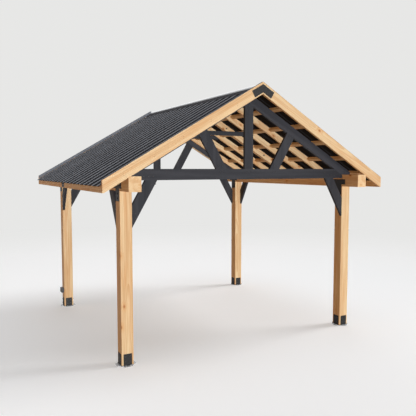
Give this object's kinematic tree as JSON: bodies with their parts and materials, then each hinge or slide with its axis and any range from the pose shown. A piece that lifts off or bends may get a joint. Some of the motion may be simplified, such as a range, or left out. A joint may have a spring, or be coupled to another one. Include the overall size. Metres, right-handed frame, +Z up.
{
  "type": "hardtop gazebo",
  "caption": "Open cedar gazebo with charcoal roof trusses and a ribbed steel gable roof on square posts.",
  "frame": {"origin": "middle of the floor under the ridge, level with the undersides of the feet", "axes": "+X to the right across the gable front, +Y from the front gable to the back one, +Z up"},
  "size_m": [4.2316, 3.836, 3.4489],
  "materials": {
    "cedar": "oiled grain",
    "charcoal_timber": "charcoal stain",
    "black_steel": "black powder coat",
    "roof_steel": "satin dark grey",
    "outlet_plastic": "matte"
  },
  "bodies": {
    "root": {"back_apex_plate": "black_steel", "back_knee_braces": "charcoal_timber", "back_rake_left": "cedar", "back_rake_right": "cedar", "back_truss_bottom_chord": "charcoal_timber", "back_truss_king_post": "charcoal_timber", "back_truss_struts": "charcoal_timber", "back_truss_top_chords": "charcoal_timber", "collar_ties": "charcoal_timber", "eave_board_left": "cedar", "eave_board_right": "cedar", "eave_splice_plates": "black_steel", "front_apex_plate": "black_steel", "front_knee_braces": "charcoal_timber", "front_rake_left": "cedar", "front_rake_right": "cedar", "front_truss_bottom_chord": "charcoal_timber", "front_truss_king_post": "charcoal_timber", "front_truss_struts": "charcoal_timber", "front_truss_top_chords": "charcoal_timber", "gable_flashing_back": "roof_steel", "gable_flashing_front": "roof_steel", "outlet_box": "outlet_plastic", "post_back_left": "cedar", "post_back_right": "cedar", "post_base_back_left": "black_steel", "post_base_back_right": "black_steel", "post_base_front_left": "black_steel", "post_base_front_right": "black_steel", "post_front_left": "cedar", "post_front_right": "cedar", "purlins_left": "cedar", "purlins_right": "cedar", "rafters_left": "cedar", "rafters_right": "cedar", "ridge_board": "cedar", "ridge_cap": "roof_steel", "roof_panel_left": "roof_steel", "roof_panel_right": "roof_steel", "side_beam_left": "cedar", "side_beam_right": "cedar", "side_knee_braces_left": "charcoal_timber", "side_knee_braces_right": "charcoal_timber", "tee_straps_left": "black_steel", "tee_straps_right": "black_steel"}
  },
  "joints": []
}
